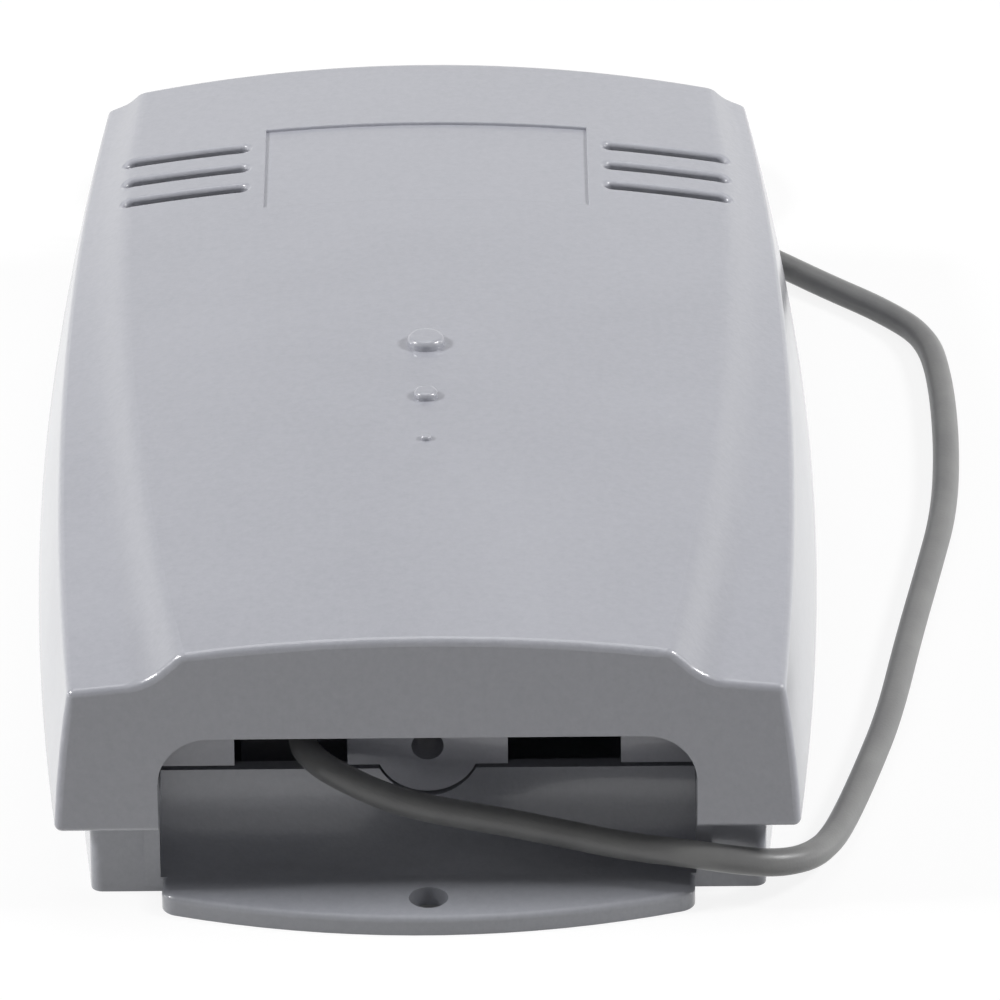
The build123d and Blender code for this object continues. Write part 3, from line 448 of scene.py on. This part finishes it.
lead = ((0.62, 0.61, 0.58), 1.0, 0.3)
black_epoxy = ((0.022, 0.022, 0.024), 0.0, 0.5)
black_sleeve = ((0.018, 0.022, 0.040), 0.0, 0.3)
can_top = ((0.66, 0.66, 0.65), 1.0, 0.35)
polarity_ring = ((0.55, 0.55, 0.54), 0.0, 0.4)
disc_lacquer = ((0.04, 0.13, 0.36), 0.0, 0.25)
red_lens = ((0.55, 0.02, 0.015), 0.0, 0.12)
resistor_coat = ((0.52, 0.40, 0.25), 0.0, 0.32)
brown_ring = ((0.20, 0.06, 0.02), 0.0, 0.32)
black_ring = ((0.02, 0.02, 0.02), 0.0, 0.32)
red_ring = ((0.42, 0.04, 0.02), 0.0, 0.32)
gold_ring = ((0.48, 0.34, 0.08), 0.6, 0.3)
banded("filter_can", "filter_capacitor", "Z", [(0.0, *lead), (0.15, *black_sleeve), (0.975, *can_top)])
banded("output_can", "output_capacitor", "Z", [(0.0, *lead), (0.2, *black_sleeve), (0.965, *can_top)])
banded("regulator_case", "voltage_regulator", "Z", [(0.0, *lead), (0.273, *black_epoxy), (0.695, *lead)])
banded("diode_case", "rectifier_diodes", "X", [
    (0.0, *lead), (0.26, *black_epoxy), (0.64, *polarity_ring), (0.69, *black_epoxy), (0.74, *lead)])
banded("disc_lacquer", "surge_disc", "Z", [(0.0, *lead), (0.3, *disc_lacquer)])
banded("resistor_coat", "resistors", "Y", [
    (0.0, *lead), (0.165, *resistor_coat), (0.25, *brown_ring), (0.31, *resistor_coat),
    (0.38, *black_ring), (0.44, *resistor_coat), (0.50, *red_ring), (0.56, *resistor_coat),
    (0.70, *gold_ring), (0.76, *resistor_coat), (0.835, *lead)])
banded("control_chip_case", "control_chip", "Y", [(0.0, *lead), (0.093, *black_epoxy), (0.907, *lead)])
banded("memory_chip_case", "memory_chip", "Y", [(0.0, *lead), (0.093, *black_epoxy), (0.907, *lead)])
banded("chip_socket_body", "chip_socket", "Z", [(0.0, *lead), (0.42, *black_epoxy)])
banded("memory_socket_body", "memory_socket", "Z", [(0.0, *lead), (0.42, *black_epoxy)])
banded("header_body", "jumper_header", "Z", [(0.0, *lead), (0.26, *black_epoxy), (0.478, *lead)])
banded("lamp_lens", "status_led", "Z", [(0.0, *lead), (0.36, *red_lens)])

# Programming buttons: a black body on metal legs under a metal plate, with a sprung steel dome inside
# and a plunger of dark plastic on the dome.
plunger = moulded("plunger_plastic", (0.035, 0.035, 0.038), (0.03, 0.03, 0.032), (0.045, 0.045, 0.05), 0.4)
for number in (1, 2):
    banded(f"button_{number}_body", f"button_{number}_case", "Z", [
        (0.0, *lead), (0.47, *black_epoxy), (0.9, *lead)])
    nodes[f"button_{number}_dome"].data.materials[0] = zinc
    nodes[f"button_{number}_plunger"].data.materials[0] = plunger

# Jumper cap: dark blue plastic, pushed over two pins of the header. Tuning core: a slotted plug of
# sintered ferrite, turned into the can of the coil.
nodes["jumper_cap"].data.materials[0] = moulded(
    "jumper_plastic", (0.05, 0.05, 0.20), (0.04, 0.04, 0.17), (0.06, 0.06, 0.23), 0.35)
nodes["tuning_core"].data.materials[0] = moulded(
    "ferrite", (0.05, 0.045, 0.045), (0.04, 0.036, 0.036), (0.07, 0.064, 0.062), 0.6)

# Aerial: a quarter wave of wire in a grey sleeve. It rises from the board and lies along the rear and the
# right side of the base.
nodes["aerial_wire"].data.materials[0] = sleeve("aerial_sleeve", (0.40, 0.40, 0.41), (0.32, 0.32, 0.33), 0.38)

# Inner cores: the same five cores go on from the end of the sheath behind the clamp to the terminal
# block, where each lies in the cage of its own pole.
clamp_end = Vector((-0.0145, -0.052, 0.0147))
core_hidden = 0.001
core_free = 0.0025
block_middle = -0.0124
pole_count = 6
pole_pitch = 0.00508
pole_front = -0.043
pole_middle = -0.0366
pole_height = 0.0127
for k, (colour, (dx, dz)) in enumerate(zip(core_colours, core_offsets)):
    pole = block_middle + (k - (pole_count - 1) / 2) * pole_pitch
    core(f"inner_core_{colour}", [
        clamp_end + Vector((dx, -core_hidden, dz)),
        clamp_end + Vector((dx, core_free, dz)),
        (pole, pole_front, pole_height),
        (pole, pole_middle, pole_height),
    ], core_width, core_materials[colour])
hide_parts("lead_inner_cores")

# Cover: the large moulding with its drawn-in wings, vents, label recess and raised discs. It is
# clipped over the base's pins at the rear and held by one screw in the boss under the front.
nodes["cover"].data.materials[0] = moulded(
    "cover_plastic", (0.445, 0.452, 0.50), (0.41, 0.418, 0.465), (0.48, 0.487, 0.535), 0.36)

# Floor: pale paint with a white glow for the eye and for reflections, except where it is seen through the
# tongue's hole. The glow is only a part of the mix, so the receiver's shadow shows.
hole_centre = (0, -0.0843, 0)
bpy.ops.mesh.primitive_plane_add(size=8)
floor = bpy.context.object
floor.name = "floor"
paint = bpy.data.materials.new("floor_paint")
paint.use_nodes = True
tree = paint.node_tree
shader = tree.nodes["Principled BSDF"]
shader.inputs["Base Color"].default_value = (0.38, 0.38, 0.38, 1)
shader.inputs["Roughness"].default_value = 0.9
shader.inputs["Specular IOR Level"].default_value = 0.1
glow = tree.nodes.new("ShaderNodeEmission")
glow.inputs["Strength"].default_value = 1.45
ray = tree.nodes.new("ShaderNodeLightPath")
place = tree.nodes.new("ShaderNodeTexCoord")
from_hole = tree.nodes.new("ShaderNodeVectorMath")
from_hole.operation = "DISTANCE"
from_hole.inputs[1].default_value = hole_centre
clear = tree.nodes.new("ShaderNodeMapRange")
clear.inputs["From Min"].default_value = 0.0032
clear.inputs["From Max"].default_value = 0.0045
clear.inputs["To Max"].default_value = 0.6
bent = tree.nodes.new("ShaderNodeMath")
bent.operation = "MAXIMUM"
seen = tree.nodes.new("ShaderNodeMath")
seen.operation = "MAXIMUM"
shine = tree.nodes.new("ShaderNodeMath")
shine.operation = "MULTIPLY"
mix = tree.nodes.new("ShaderNodeMixShader")
tree.links.new(place.outputs["Object"], from_hole.inputs[0])
tree.links.new(from_hole.outputs["Value"], clear.inputs["Value"])
tree.links.new(ray.outputs["Is Glossy Ray"], bent.inputs[0])
tree.links.new(ray.outputs["Is Transmission Ray"], bent.inputs[1])
tree.links.new(ray.outputs["Is Camera Ray"], seen.inputs[0])
tree.links.new(bent.outputs["Value"], seen.inputs[1])
tree.links.new(seen.outputs["Value"], shine.inputs[0])
tree.links.new(clear.outputs["Result"], shine.inputs[1])
tree.links.new(shine.outputs["Value"], mix.inputs["Fac"])
tree.links.new(shader.outputs["BSDF"], mix.inputs[1])
tree.links.new(glow.outputs["Emission"], mix.inputs[2])
tree.links.new(mix.outputs["Shader"], tree.nodes["Material Output"].inputs["Surface"])
floor.data.materials.append(paint)

# Room: a weak even light, and white to the eye. In reflections it is white near the floor and grows
# darker upwards.
world = bpy.data.worlds.new("studio")
bpy.context.scene.world = world
world.use_nodes = True
tree = world.node_tree
ambient = tree.nodes["Background"]
ambient.inputs["Strength"].default_value = 0.14
ambient.inputs["Color"].default_value = (1, 1, 1, 1)
white = tree.nodes.new("ShaderNodeBackground")
white.inputs["Color"].default_value = (1, 1, 1, 1)
ray = tree.nodes.new("ShaderNodeLightPath")
way = tree.nodes.new("ShaderNodeTexCoord")
split = tree.nodes.new("ShaderNodeSeparateXYZ")
fade = tree.nodes.new("ShaderNodeMapRange")
fade.inputs["From Min"].default_value = 0.12
fade.inputs["From Max"].default_value = 0.50
fade.inputs["To Min"].default_value = 1.0
fade.inputs["To Max"].default_value = 0.30
bent = tree.nodes.new("ShaderNodeMath")
bent.operation = "MAXIMUM"
seen = tree.nodes.new("ShaderNodeMath")
seen.operation = "MULTIPLY_ADD"
mix = tree.nodes.new("ShaderNodeMixShader")
tree.links.new(way.outputs["Generated"], split.inputs["Vector"])
tree.links.new(split.outputs["Z"], fade.inputs["Value"])
tree.links.new(ray.outputs["Is Glossy Ray"], bent.inputs[0])
tree.links.new(ray.outputs["Is Transmission Ray"], bent.inputs[1])
tree.links.new(bent.outputs["Value"], seen.inputs[0])
tree.links.new(fade.outputs["Result"], seen.inputs[1])
tree.links.new(ray.outputs["Is Camera Ray"], seen.inputs[2])
tree.links.new(seen.outputs["Value"], mix.inputs["Fac"])
tree.links.new(ambient.outputs["Background"], mix.inputs[1])
tree.links.new(white.outputs["Background"], mix.inputs[2])
tree.links.new(mix.outputs["Shader"], tree.nodes["World Output"].inputs["Surface"])

# Lamps: a soft light high up at each side, which also makes the glints on the crest. A weak wide one
# overhead and a low flat one at each side fill in.
lit_point = Vector((0, 0, 0.02))
for name, place, width, height, power in (
    ("left_high", (-0.66, -0.03, 0.58), 0.18, 0.18, 4.25),
    ("right_high", (0.66, -0.03, 0.58), 0.18, 0.18, 3.95),
    ("overhead", (0.0, 0.25, 0.80), 0.5, 0.5, 1.1),
    ("left_low", (-0.75, 0.10, 0.03), 0.5, 0.05, 0.6),
    ("right_low", (0.75, 0.10, 0.03), 0.5, 0.05, 0.4),
):
    bpy.ops.object.light_add(type="AREA", location=place)
    lamp = bpy.context.object
    lamp.name = name
    lamp.data.shape = "RECTANGLE"
    lamp.data.size = width
    lamp.data.size_y = height
    lamp.data.energy = power
    lamp.rotation_euler = (lit_point - Vector(place)).to_track_quat("-Z", "Y").to_euler()

bpy.context.scene.view_settings.view_transform = "Standard"
